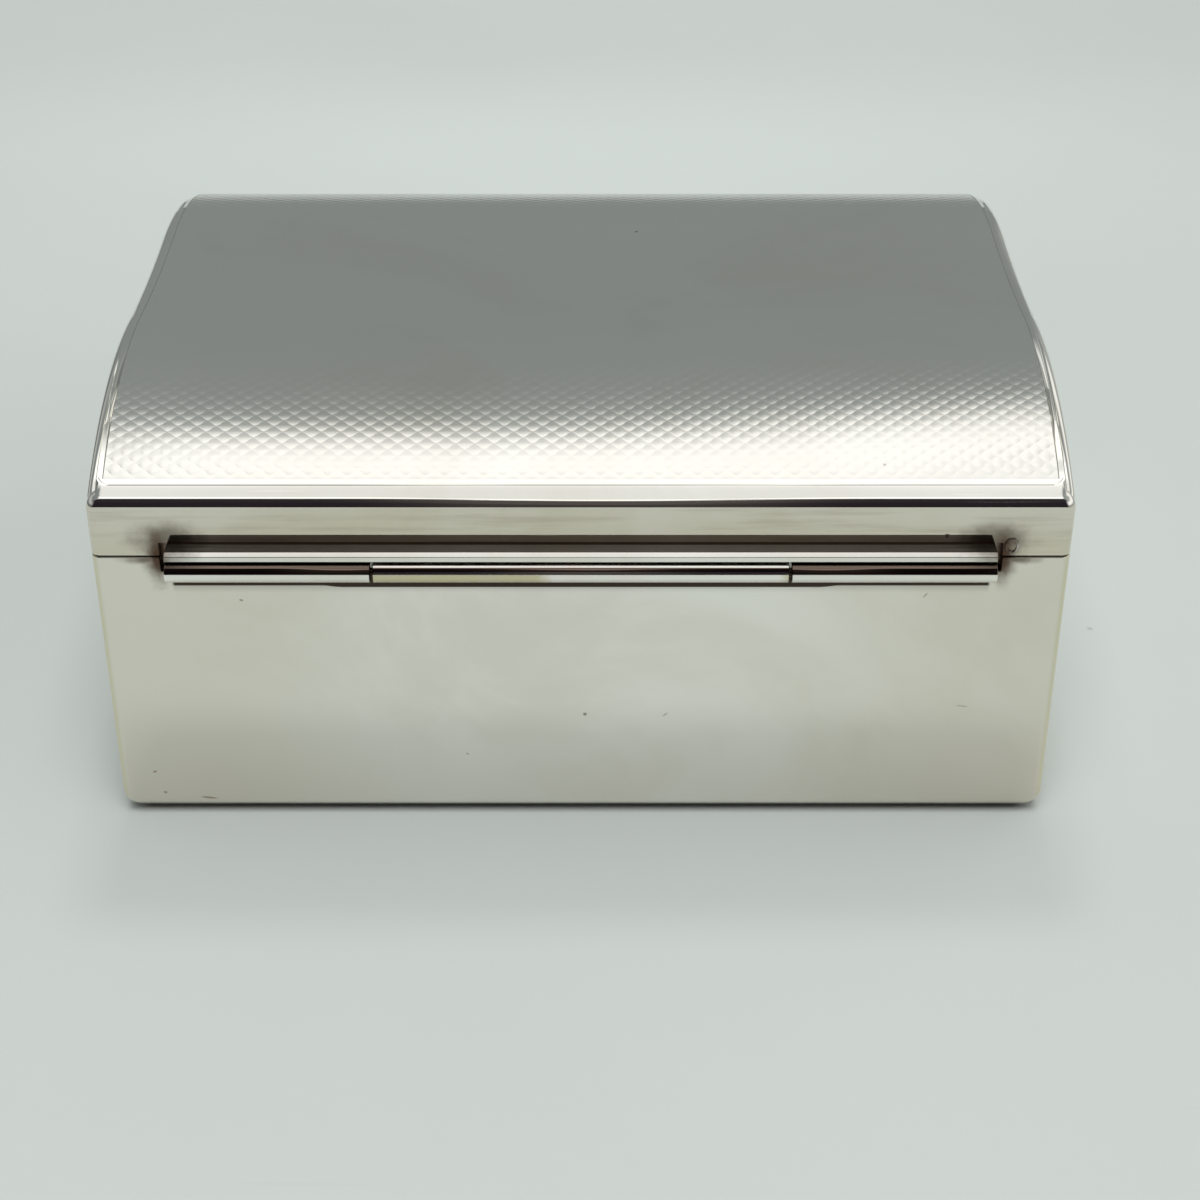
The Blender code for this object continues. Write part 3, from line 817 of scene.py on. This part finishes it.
def barleycorn_tree():
    """Barleycorn engraving laid on a lid: grains between wavy cuts, steep on their +Y side.

    Every other cut is half a grain along. Three rows of vertices belong to each cut.
    """
    nodes, given = new_group("Barleycorn engraving", "GeometryNodeTree", {
        "Geometry": "Geometry", "Width": 0.1, "Depth": 0.08, "Columns": 295, "Cuts": 108,
        "Grains": 49.0, "Grain height": 0.03 * MM, "Steep share": 0.24, "Wave height": 0.46,
        "Seat": 0.2 * MM, "Lid": "Object", "Material": "Material"})
    cuts = given["Cuts"]
    last = cuts * 3.0
    grid = nodes.add("GeometryNodeMeshGrid",
                     {"Size X": 1.0, "Size Y": 1.0, "Vertices X": given["Columns"],
                      "Vertices Y": last + 1.0}, "Mesh")
    x, y, z = nodes.add("GeometryNodeInputPosition", {}).parts()
    row = nodes.math("ROUND", (y + 0.5) * last)
    number = nodes.math("FLOOR", row * (1 / 3) + 0.1)
    place_in = row - number * 3.0
    spacing = given["Depth"] / cuts
    phase = x * given["Grains"] * (2 * pi)
    side = nodes.math("MODULO", number, 2.0) * -2.0 + 1.0
    swing = nodes.math("COSINE", phase) * side * (spacing * given["Wave height"])
    free = (number > 0.5) * (number < cuts - 0.5)
    this_cut = swing * free + number * spacing
    next_cut = (number + 1.0) * spacing - swing * (number < cuts - 1.5)
    gap = next_cut - this_cut
    middle = nodes.math("COMPARE", place_in, 1.0, 0.5)
    crest = nodes.math("COMPARE", place_in, 2.0, 0.5)
    share_in = (1.0 - given["Steep share"]) * (middle * 0.5 + crest)
    along = gap * share_in + this_cut - given["Depth"] * 0.5
    breadth = gap / (spacing * 2.0)
    risen = breadth * breadth * (middle * SHOULDER + crest)
    lowered = (1.0 - risen) * given["Grain height"]
    across = x * given["Width"]
    over = nodes.add("ShaderNodeCombineXYZ", {"X": across, "Y": along, "Z": 1.0})
    lid = nodes.add("GeometryNodeObjectInfo", {"Object": given["Lid"]}, "Geometry",
                    transform_space="ORIGINAL")
    seat = nodes.add("GeometryNodeRaycast",
                     {"Target Geometry": lid, "Source Position": over,
                      "Ray Direction": (0.0, 0.0, -1.0), "Ray Length": 10.0}, "Hit Position")
    level = seat.parts()[2] + given["Seat"] - lowered
    final = nodes.add("ShaderNodeCombineXYZ", {"X": across, "Y": along, "Z": level})
    in_cut = nodes.add("GeometryNodeFieldOnDomain", {"Value": place_in < 0.5},
                       data_type="FLOAT", domain="POINT")
    both_ends = nodes.add("GeometryNodeFieldOnDomain", {"Value": in_cut},
                          data_type="FLOAT", domain="EDGE")
    creased = nodes.add("GeometryNodeSetShadeSmooth",
                        {"Geometry": grid, "Selection": both_ends > 0.9, "Shade Smooth": False},
                        domain="EDGE")
    laid = nodes.add("GeometryNodeSetPosition", {"Geometry": creased, "Position": final})
    whole = nodes.add("GeometryNodeRealizeInstances", {"Geometry": laid})
    dressed = nodes.add("GeometryNodeSetMaterial",
                        {"Geometry": whole, "Material": given["Material"]})
    return close_group(nodes, {"Geometry": dressed}, "Geometry")


def run_tree(name, tree, values):
    """Run a geometry tree on an empty mesh and return its result as a plain object."""
    item = link(bpy.data.objects.new(name, bpy.data.meshes.new(name)))
    modifier = item.modifiers.new(name, "NODES")
    modifier.node_group = tree
    for socket in tree.interface.items_tree:
        if socket.name in values and socket.in_out == "INPUT":
            modifier[socket.identifier] = values[socket.name]
    return apply_modifiers(item)


def close_below(item, sink):
    """Give an open sheet of rows of vertices its side walls and an underside of strips."""
    work = bmesh.new()
    work.from_mesh(item.data)
    work.verts.ensure_lookup_table()
    border = [edge for edge in work.edges if edge.is_boundary]
    for edge in border:
        edge.smooth = False
    made = bmesh.ops.extrude_edge_only(work, edges=border)["geom"]
    lower = [part for part in made if isinstance(part, bmesh.types.BMVert)]
    bmesh.ops.translate(work, verts=lower, vec=(0, 0, -sink))

    def side(axis, place):
        """Vertices along one side of the underside, in order along the other axis."""
        found = [v for v in lower if abs(v.co[axis] - place) < WELD]
        return sorted(found, key=lambda v: v.co[1 - axis])

    edge_x = min(v.co.x for v in lower)
    left = side(0, edge_x)
    right = side(0, -edge_x)
    work.faces.new(side(1, left[0].co.y) + [right[1], left[1]])
    work.faces.new(side(1, left[-1].co.y) + [right[-2], left[-2]])
    for i in range(1, len(left) - 2):
        work.faces.new((left[i], right[i], right[i + 1], left[i + 1]))
    bmesh.ops.recalc_face_normals(work, faces=work.faces)
    work.to_mesh(item.data)
    work.free()


def make_engraved_field(lid, material):
    sizes = settings().lid
    crown = Crown()
    width = 2 * (crown.half_width - sizes.rim + sizes.end_less - sizes.field_gap)
    depth = 2 * (crown.half_depth - sizes.rim - sizes.field_gap)
    grains = int(width / sizes.grain_length)
    values = {"Width": width, "Depth": depth, "Columns": grains * GRAIN_STEPS + 1,
              "Cuts": round(depth / sizes.row_height), "Grains": float(grains),
              "Grain height": sizes.grain_height, "Steep share": sizes.steep_share,
              "Wave height": sizes.wave_height,
              "Seat": sizes.field_sink, "Lid": lid, "Material": material}
    field = run_tree("lid_engraved_field", barleycorn_tree(), values)
    close_below(field, sizes.field_sink / 2)
    field.data.shade_smooth()
    return field


def turned(name, profile, material, closed=True):
    """Turn a profile of places along X and radii about the hinge's axis."""
    centre_y, centre_z = hinge_axis()
    work = bmesh.new()
    rings = []
    for along, radius in profile:
        rings.append([work.verts.new((along, centre_y + radius * cos(2 * pi * i / TUBE_SIDES),
                                      centre_z + radius * sin(2 * pi * i / TUBE_SIDES)))
                      for i in range(TUBE_SIDES)])
    if closed:
        rings.append(rings[0])
    loft(work, rings)
    bmesh.ops.remove_doubles(work, verts=work.verts, dist=WELD / 10)
    bmesh.ops.recalc_face_normals(work, faces=work.faces)
    return mesh_piece(name, work, material)


def eased(along, radius, ease, outward):
    """Profile points of a rounded end, in order from left to right."""
    points = []
    for step in range(END_STEPS + 1):
        angle = pi / 2 * step / END_STEPS
        points.append((along + outward * (ease * cos(angle) - ease),
                       radius - ease + ease * sin(angle)))
    return points if outward < 0 else list(reversed(points))


def round_ended(left, right, radius, inner):
    """Profile of a tube, or of a rod where the inner radius is zero, with eased ends."""
    ease = settings().case.knuckle_ease
    return ([(left, inner)] + eased(left, radius, ease, -1) + eased(right, radius, ease, 1)
            + [(right, inner)])


def knuckle_profile(name, bore):
    """Profile of a knuckle that runs on into the gaps beside it, but not past the hinge."""
    reach = settings().case.knuckle_reach
    low, high = node_box(name)
    hinge_end = node_box("lid_bearer")[1].x - WELD
    left = low.x if abs(low.x) > hinge_end else low.x - reach
    right = high.x if abs(high.x) > hinge_end else high.x + reach
    return round_ended(left, right, (high.z - low.z) / 2, bore)


def make_ledge(material):
    """The lid's hinge ledge, whose back has a broad chamfer above and a small one below."""
    case = settings().case
    low, high = node_box("lid_bearer")
    small = case.worn_edge
    profile = [(low.y, high.z), (high.y - case.nose_depth, high.z),
               (high.y, high.z - case.nose_height), (high.y, low.z + small),
               (high.y - small, low.z), (low.y, low.z)]
    work = bmesh.new()
    ends = [[work.verts.new((x, y, z)) for y, z in profile] for x in (low.x, high.x)]
    loft(work, ends)
    for end in ends:
        work.faces.new(end)
    bmesh.ops.recalc_face_normals(work, faces=work.faces)
    ledge = mesh_piece("hinge_ledge", work, material)
    wear_edges(ledge, small / 2)
    return ledge


def wear_edges(item, width):
    """Round an object's hard edges by a small width."""
    round_off = item.modifiers.new("Worn edges", "BEVEL")
    round_off.width = width
    round_off.segments = 3
    round_off.limit_method = "ANGLE"
    round_off.angle_limit = WORN
    round_off.use_clamp_overlap = False
    round_off.miter_outer = "MITER_ARC"
    level = item.modifiers.new("Face normals", "WEIGHTED_NORMAL")
    level.keep_sharp = False
    sharp = item.data.attributes.get("sharp_edge")
    if sharp:
        item.data.attributes.remove(sharp)
    apply_modifiers(item)


def eased_copy(node, name, material, width):
    """Welded copy of a model piece whose hard edges are worn round by a small width."""
    work = bmesh.new()
    work.from_mesh(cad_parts[node].data)
    bmesh.ops.remove_doubles(work, verts=work.verts, dist=WELD)
    bmesh.ops.dissolve_limit(work, angle_limit=FLAT, verts=work.verts, edges=work.edges)
    item = mesh_piece(name, work, material)
    if width:
        wear_edges(item, width)
    return item


class BOX_OT_lid_shell(bpy.types.Operator):
    """Build the lid's crown, plain rim and walls as one shell"""

    bl_idname = "silver_box.lid_shell"
    bl_label = "Lid shell"

    def execute(self, context):
        shell = make_lid_shell(silver_finish("Lid silver", film_share=0.25, roughness=0.05,
                                             wave_depth=0.02 * MM, lid=True))
        stand_for(shell, "lid", "silver", "lid_top", "lid_wall")
        return {"FINISHED"}


class BOX_OT_engraved_field(bpy.types.Operator):
    """Lay the barleycorn engraving on the lid"""

    bl_idname = "silver_box.engraved_field"
    bl_label = "Engraved field"

    def execute(self, context):
        field = make_engraved_field(bpy.data.objects["lid_shell"], engraved_finish())
        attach(field, "lid")
        return {"FINISHED"}


class BOX_OT_hinge(bpy.types.Operator):
    """Build the knuckles, the pin, its plugs and the ledges of the hinge"""

    bl_idname = "silver_box.hinge"
    bl_label = "Hinge"

    def execute(self, context):
        case = settings().case
        bright = silver_finish("Hinge silver", film_share=0.3, roughness=0.05,
                               wave_depth=0.01 * MM, grimy_and_shaded=False, tube=True)
        low, high = node_box("hinge_pin")
        pin_radius = (high.z - low.z) / 2
        bore = pin_radius + case.pin_play
        for node in ("left_knuckle", "right_knuckle"):
            piece = turned("turned_" + node, knuckle_profile(node, bore), bright)
            stand_for(piece, "lid", "silver", node)
        middle = turned("turned_centre_knuckle", knuckle_profile("centre_knuckle", bore),
                        middle_knuckle_finish())
        stand_for(middle, "body", "tarnished_silver", "centre_knuckle")
        wire = turned("turned_hinge_pin", [(low.x, 0), (low.x, pin_radius), (high.x, pin_radius),
                                           (high.x, 0)], drawn_wire_finish(), closed=False)
        stand_for(wire, "lid", "nickel_silver", "hinge_pin")
        for node in ("left_pin_plug", "right_pin_plug"):
            low, high = node_box(node)
            plug = turned("turned_" + node, round_ended(low.x, high.x, (high.z - low.z) / 2, 0),
                          bright, closed=False)
            stand_for(plug, "lid", "silver", node)
        ledge_silver = silver_finish("Ledge silver", film_share=0.4, roughness=0.06,
                                     wave_depth=0.02 * MM,
                                     dull_above=node_box("lid_bearer")[1].z)
        ledge = make_ledge(ledge_silver)
        stand_for(ledge, "lid", "silver", "lid_bearer")
        apron_silver = silver_finish("Apron silver", film_share=0.4, roughness=0.08,
                                     wave_depth=0.02 * MM)
        apron = eased_copy("body_bearer", "hinge_apron", apron_silver, case.worn_edge / 2)
        stand_for(apron, "body", "silver", "body_bearer")
        return {"FINISHED"}


# Each mark's place across and up in mm, its turn in radians, and its length and height in mm
WALL_MARKS = (
    (41.2, 2.3, 0.16, 2.3, 0.42), (46.0, 3.1, 0.1, 0.5, 0.4), (46.9, 5.9, -0.4, 0.6, 0.35),
    (35.6, 28.0, 0.3, 0.55, 0.3), (-9.0, 13.5, -0.7, 0.9, 0.16), (-41.0, 14.6, 0.1, 1.6, 0.14),
    (12.5, 8.3, 0.5, 0.5, 0.2), (-36.0, 28.6, -0.9, 0.9, 0.18),
)


class BOX_OT_case(bpy.types.Operator):
    """Build the body's wall, base plate and bezel with worn edges, and the thumb piece"""

    bl_idname = "silver_box.case"
    bl_label = "Case"

    def execute(self, context):
        edge = settings().case.worn_edge
        back = node_box("body_wall")[1].y
        marks = [((across * MM, back, up * MM), turn, long / 2 * MM, tall / 2 * MM)
                 for across, up, turn, long, tall in WALL_MARKS]
        body_silver = silver_finish("Body silver", film_share=0.34, roughness=0.07,
                                    wave_depth=0.05 * MM, marks=marks, body=True)
        for node, name, body, width in (("body_wall", "worn_body_wall", "body", edge),
                                        ("base_plate", "worn_base_plate", "body", edge),
                                        ("body_bezel", "worn_bezel", "body", edge),
                                        ("thumb_piece", "worn_thumb_piece", "lid", 0)):
            stand_for(eased_copy(node, name, body_silver, width), body, "silver", node)
        return {"FINISHED"}


# The solder curl is flattened against the wall and drawn out upwards, with low lumps that
# follow waves given in radians per metre
BEAD_STRETCH = (1, 0.55, 1.3)
LUMP_HEIGHT = 0.04 * MM
LUMPS_ACROSS = 9000
LUMPS_UP = 7000


class BOX_OT_solder_bead(bpy.types.Operator):
    """Add the small curl of solder beside the hinge's end"""

    bl_idname = "silver_box.solder_bead"
    bl_label = "Solder bead"

    def execute(self, context):
        case = settings().case
        wall_low, wall_high = node_box("lid_wall")
        centre = (node_box("lid_bearer")[0].x - case.bead_beside, wall_high.y,
                  wall_low.z + case.bead_above)
        bpy.ops.mesh.primitive_torus_add(major_radius=case.bead_ring,
                                         minor_radius=case.bead_thickness,
                                         major_segments=40, minor_segments=14)
        bead = context.object
        bead.name = "solder_bead"
        flattened = Matrix.Diagonal((*BEAD_STRETCH, 1)) @ Matrix.Rotation(pi / 2, 4, "X")
        bead.data.transform(Matrix.Translation(centre) @ flattened)
        for vertex in bead.data.vertices:
            wave = vertex.co.x * LUMPS_ACROSS + vertex.co.z * LUMPS_UP
            vertex.co.z += LUMP_HEIGHT * sin(wave)
        bead.data.materials.append(bpy.data.materials["Ledge silver"])
        bead.data.shade_smooth()
        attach(bead, "lid")
        return {"FINISHED"}


class BOX_OT_lining(bpy.types.Operator):
    """Give the lining boards their cedar"""

    bl_idname = "silver_box.lining"
    bl_label = "Cedar lining"

    def execute(self, context):
        boards = ("lining_front", "lining_back", "lining_left", "lining_right", "lining_floor",
                  "lining_divider")
        for number, node in enumerate(boards):
            low, high = node_box(node)
            along = "X" if high.x - low.x > high.y - low.y else "Y"
            offset = (0.37 * number, 0.23 * number, 0.11 * number)
            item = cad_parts[node]
            item.data.materials.clear()
            item.data.materials.append(cedar_finish("Cedar " + node, along, offset))
        return {"FINISHED"}


def floor_finish():
    """Pale table top with a painted pool of light beyond the box, faint scuffs and specks of dust.
    """
    floor = settings().stage.floor
    material, nodes, where = new_material("Table top")
    x, y, z = where.parts()
    clouds = nodes.noise(where, scale=9.0, detail=6.0).ramp(0.35, 0.7)
    # Painted light: the floor made lighter beyond the box, fading towards the sides
    far = y.ramp(-40 * MM, -260 * MM) * y.ramp(-155 * MM, -230 * MM, 1.0, 0.15)
    beyond = far * abs(x).ramp(0.0, 190 * MM, 1.0, 0.1)
    scratches = nodes.streaks(where, (30.0, 900.0, 1.0), detail=2.0, turn=(0.0, 0.0, 0.9))
    scuffs = scratches.ramp(0.70, 0.82, 0.0, 0.25)
    dust = nodes.specks(where, scale=95.0, rarity=0.9) * 0.5
    base = floor
    for mask, brightness in ((clouds, 0.97), (beyond, 1.2), (scuffs, 0.88), (dust, 0.6)):
        base = nodes.mix(mask, base, times(floor, brightness))
    dress(nodes, {"Base Color": base, "Roughness": 0.6, "Specular IOR Level": 0.2})
    return material


def make_floor():
    side = 8.0
    bpy.ops.mesh.primitive_plane_add(size=side)
    floor = bpy.context.object
    floor.name = "table_top"
    floor.data.materials.append(floor_finish())


def sky_bands(nodes, turn):
    """Colour of the studio by its turn, and the grey that it ends in.

    The turn is 0 at the horizon behind the camera, 0.5 overhead and 1 beyond the box.
    """
    stage = settings().stage
    grey = times((0.97, 1.06, 1.05), stage.surround)
    bright = times((1.0, 1.0, 0.99), stage.zenith)
    dim = (0.088, 0.078, 0.075)
    low = (0.05, 0.045, 0.044)
    bands = [(0.0, low), (0.20, low), (0.25, dim), (0.40, dim), (0.42, bright), (0.470, bright)]
    for place, part in ((0.477, 0.6), (0.492, 0.62), (0.501, 1), (0.552, 1), (0.572, 0.74),
                        (0.590, 0.44), (0.608, 0.11), (0.64, 0.01), (1.0, 0)):
        bands.append((place, [a + (b - a) * part for a, b in zip(grey, bright)]))
    sky = nodes.add("ShaderNodeValToRGB", {"Fac": turn})
    elements = sky.socket.node.color_ramp.elements
    while len(elements) < len(bands):
        elements.new(0.5)
    for element, (place, value) in zip(elements, bands):
        element.position = place
        element.color = (*value, 1.0)
    return sky, grey


def make_world():
    """Studio round the box: dark behind the camera, a bright strip overhead, grey beyond."""
    world = bpy.data.worlds.new("Studio")
    bpy.context.scene.world = world
    world.use_nodes = True
    nodes = Nodes(world.node_tree)
    beside, ahead, up = nodes.add("ShaderNodeTexCoord", {}, "Generated").parts()
    left = beside.most(0.0)
    right = (beside * -1.0).most(0.0)
    off_centre = abs(beside)
    turn = nodes.math("ARCTAN2", up, ahead) / pi
    far_side = turn - (right * 0.30 + left * 0.04) * (turn > 0.53)
    bulge = far_side + off_centre.ramp(0.01, 0.13, 0.11, 0.0)
    sky, grey = sky_bands(nodes, nodes.math("MINIMUM", bulge, far_side.most(0.49)))
    shade = (turn < 0.40) * off_centre.ramp(0.05, 0.16, 0.0, 0.85)
    lit = nodes.mix(shade, sky, (0.014, 0.010, 0.015))
    lit = nodes.mix(off_centre.ramp(0.22, 0.36) * (turn > 0.4), lit, grey)
    panel = up.ramp(0.28, 0.42) * up.ramp(0.64, 0.80, 1.0, 0.0)
    on_left = nodes.mix(panel, (0.15, 0.16, 0.16), (0.45, 0.46, 0.45))
    on_right = nodes.mix(panel, (0.38, 0.39, 0.38), (0.95, 0.95, 0.93))
    lit = nodes.mix(left.ramp(0.4, 0.8), lit, on_left)
    lit = nodes.mix(right.ramp(0.3, 0.6), lit, on_right)
    seen = nodes.add("ShaderNodeLightPath", {}, "Is Camera Ray")
    nodes.fill(nodes.tree.nodes["Background"],
               {"Color": nodes.mix(seen, lit, settings().stage.floor)})


def area_light(name, direction, distance, size, power):
    """Soft lamp aimed at the origin that lights surfaces but isn't mirrored in them."""
    data = bpy.data.lights.new(name, "AREA")
    data.shape = "SQUARE"
    data.size = size
    data.energy = power
    lamp = link(bpy.data.objects.new(name, data))
    lamp.location = Vector(direction).normalized() * distance
    lamp.rotation_mode = "QUATERNION"
    lamp.rotation_quaternion = Vector(direction).to_track_quat("Z", "Y")
    lamp.visible_glossy = False


def make_camera():
    stage = settings().stage
    data = bpy.data.cameras.new("Camera")
    data.sensor_width = 36.0
    data.lens = stage.focal_pixels / stage.frame_pixels * data.sensor_width
    data.clip_start = 0.01
    data.clip_end = 20.0
    camera = link(bpy.data.objects.new("Camera", data))
    camera.location = (stage.camera_x, stage.camera_y, stage.camera_z)
    camera.rotation_euler = (pi / 2 - stage.pitch, 0, pi)
    bpy.context.scene.camera = camera


class BOX_OT_stage(bpy.types.Operator):
    """Set the floor, the light and the camera"""

    bl_idname = "silver_box.stage"
    bl_label = "Stage"

    def execute(self, context):
        make_floor()
        make_world()
        area_light("Key", (0.0, -0.42, 1.0), distance=1.2, size=0.2, power=2.0)
        area_light("Fill", (0.0, 0.45, 1.0), distance=1.8, size=1.0, power=18.5)
        make_camera()
        context.scene.view_settings.view_transform = "Standard"
        return {"FINISHED"}


class SilverBoxSettings(bpy.types.PropertyGroup):
    """Everything that can be changed about the box's looks."""

    lid: PointerProperty(type=BoxLidSizes)
    case: PointerProperty(type=BoxCaseSizes)
    finish: PointerProperty(type=BoxFinish)
    stage: PointerProperty(type=BoxStage)


STEPS = (BOX_OT_lid_shell, BOX_OT_engraved_field, BOX_OT_hinge, BOX_OT_case, BOX_OT_solder_bead,
         BOX_OT_lining, BOX_OT_stage)


class BOX_PT_sidebar(bpy.types.Panel):
    bl_idname = "BOX_PT_sidebar"
    bl_label = "Silver box"
    bl_space_type = "VIEW_3D"
    bl_region_type = "UI"
    bl_category = "Silver Box"

    def draw(self, context):
        for step in STEPS:
            self.layout.operator(step.bl_idname)
        box = context.scene.silver_box
        for part in (box.lid, box.case, box.finish, box.stage):
            column = self.layout.column(align=True)
            for name in part.bl_rna.properties.keys():
                if name not in ("rna_type", "name"):
                    column.prop(part, name)


CLASSES = (BoxLidSizes, BoxCaseSizes, BoxFinish, BoxStage, SilverBoxSettings, *STEPS,
           BOX_PT_sidebar)


def register():
    for item in CLASSES:
        bpy.utils.register_class(item)
    bpy.types.Scene.silver_box = PointerProperty(type=SilverBoxSettings)


def unregister():
    del bpy.types.Scene.silver_box
    for item in reversed(CLASSES):
        bpy.utils.unregister_class(item)


def main():
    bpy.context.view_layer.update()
    register()
    steps = bpy.ops.silver_box
    for step in (steps.lid_shell, steps.engraved_field, steps.hinge, steps.case,
                 steps.solder_bead, steps.lining, steps.stage):
        step()


if __name__ == "__main__":
    main()
